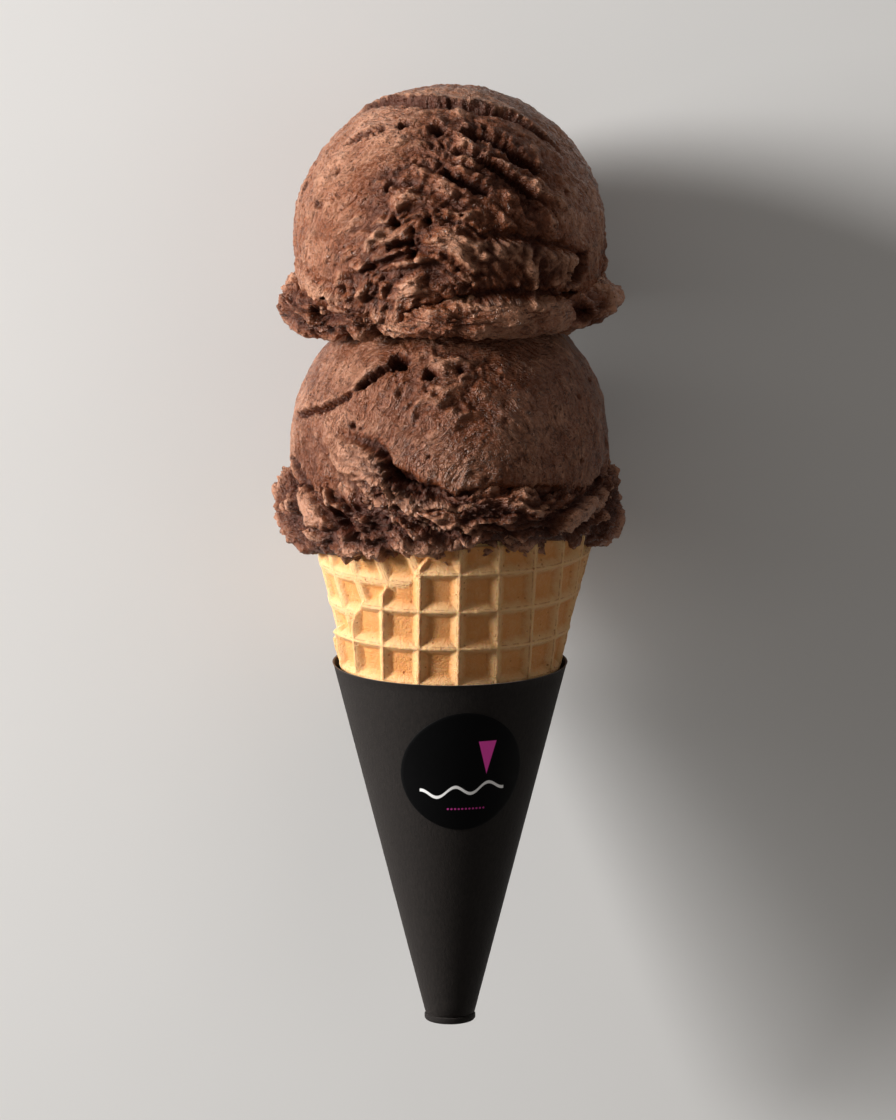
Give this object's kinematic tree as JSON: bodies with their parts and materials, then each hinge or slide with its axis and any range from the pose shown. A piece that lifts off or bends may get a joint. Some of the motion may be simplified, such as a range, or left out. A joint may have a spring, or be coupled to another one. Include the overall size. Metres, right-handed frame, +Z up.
{
  "type": "ice cream cone",
  "caption": "Chocolate ice cream scoops stacked in a rolled waffle cone with a black paper sleeve and a plain round label, lying on its side.",
  "frame": {"origin": "middle of the length and width, on the surface that the cone lies on", "axes": "+Y runs along the cone's axis from the foot to the top scoop, +Z is up and is the front that shows, +X is to the right of that front"},
  "size_m": [0.0714, 0.1906, 0.0692],
  "materials": {
    "upper_ice_cream": "moist chocolate ice cream, rough where torn",
    "lower_ice_cream": "moist chocolate ice cream, smoother than the upper scoop",
    "wafer": "baked golden wafer, dry and finely pored",
    "sleeve_paper": "matt black card",
    "foot_paper": "matt black card, pressed round",
    "label_film": "smooth black film"
  },
  "bodies": {
    "root": {"upper_scoop": "upper_ice_cream", "lower_scoop": "lower_ice_cream", "waffle_cone": "wafer", "paper_sleeve": "sleeve_paper", "sleeve_foot": "foot_paper", "round_label": "label_film"}
  },
  "joints": []
}
